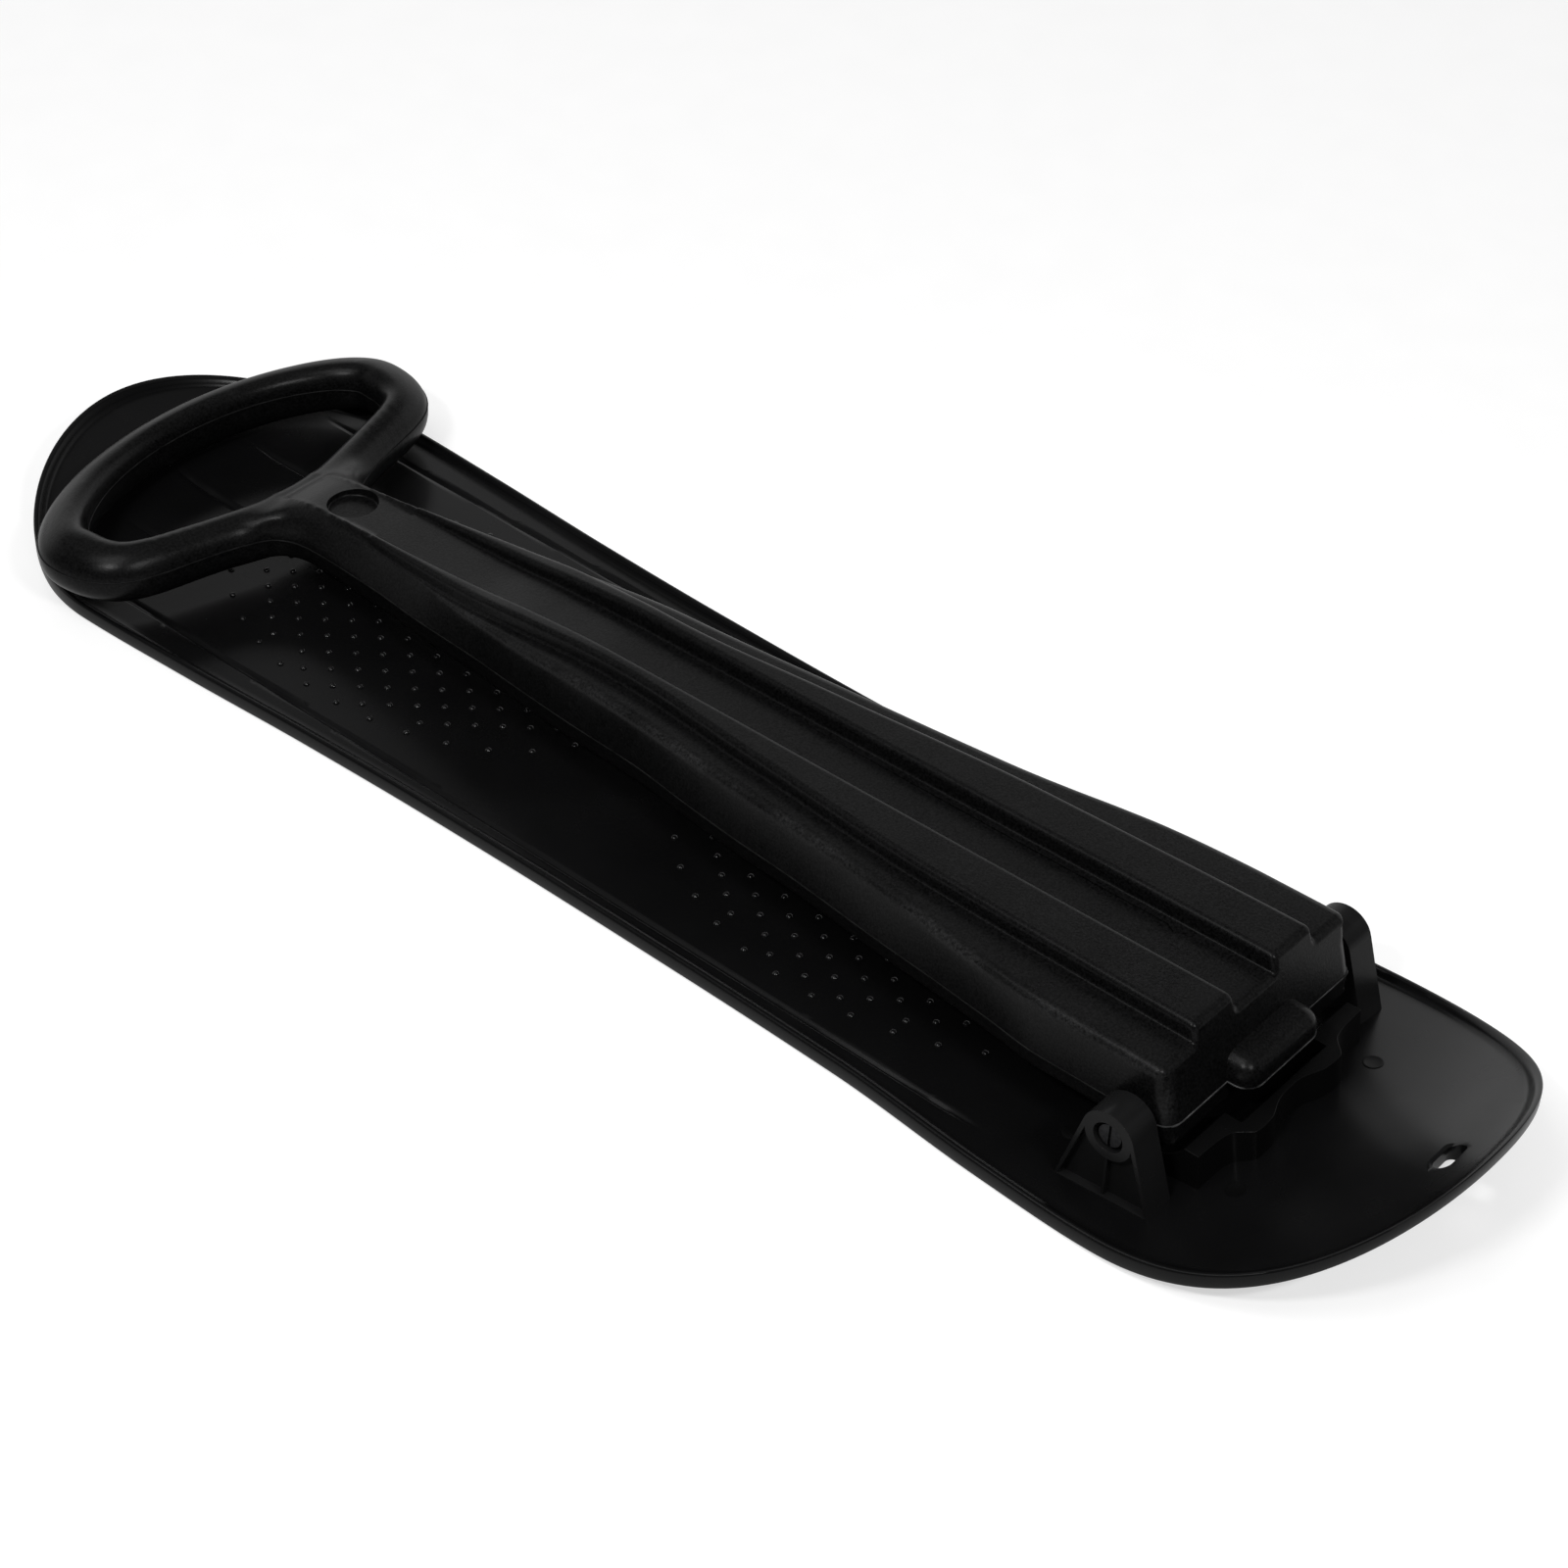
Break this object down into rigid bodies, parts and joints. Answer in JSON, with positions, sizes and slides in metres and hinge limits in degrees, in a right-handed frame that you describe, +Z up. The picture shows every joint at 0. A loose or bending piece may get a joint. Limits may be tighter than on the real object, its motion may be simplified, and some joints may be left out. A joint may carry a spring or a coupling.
{
  "type": "snow scooter",
  "caption": "Black moulded snow scooter: a long board kicked up at nose and tail, with a ribbed handle ending in an oval grip that folds down flat onto it.",
  "frame": {"origin": "on the board's flat underside, under the middle of its length and width", "axes": "+Z up, -Y towards the nose, +Y towards the tail, X across the board and along the handle's pivot"},
  "size_m": [0.267, 0.95, 0.0863],
  "materials": {
    "board_plastic": "glossy moulded black",
    "handle_plastic": "satin blow-moulded black",
    "zinc_steel": "bright zinc plated",
    "bush_nylon": "dark natural nylon",
    "insert_brass": "turned"
  },
  "bodies": {
    "board": {"deck": "board_plastic", "washer_left": "zinc_steel", "washer_right": "zinc_steel", "pivot_bush_left": "bush_nylon", "pivot_bush_right": "bush_nylon"},
    "handle": {"handle": "handle_plastic", "pivot_bolt_left": "zinc_steel", "pivot_bolt_right": "zinc_steel", "threaded_insert_left": "insert_brass", "threaded_insert_right": "insert_brass"}
  },
  "joints": [
    {"name": "handle_fold", "type": "hinge", "parent": "board", "child": "handle", "pos_m": [0, -0.3283, 0.0462], "axis": [1, 0, 0], "range_deg": [0, 90]}
  ]
}
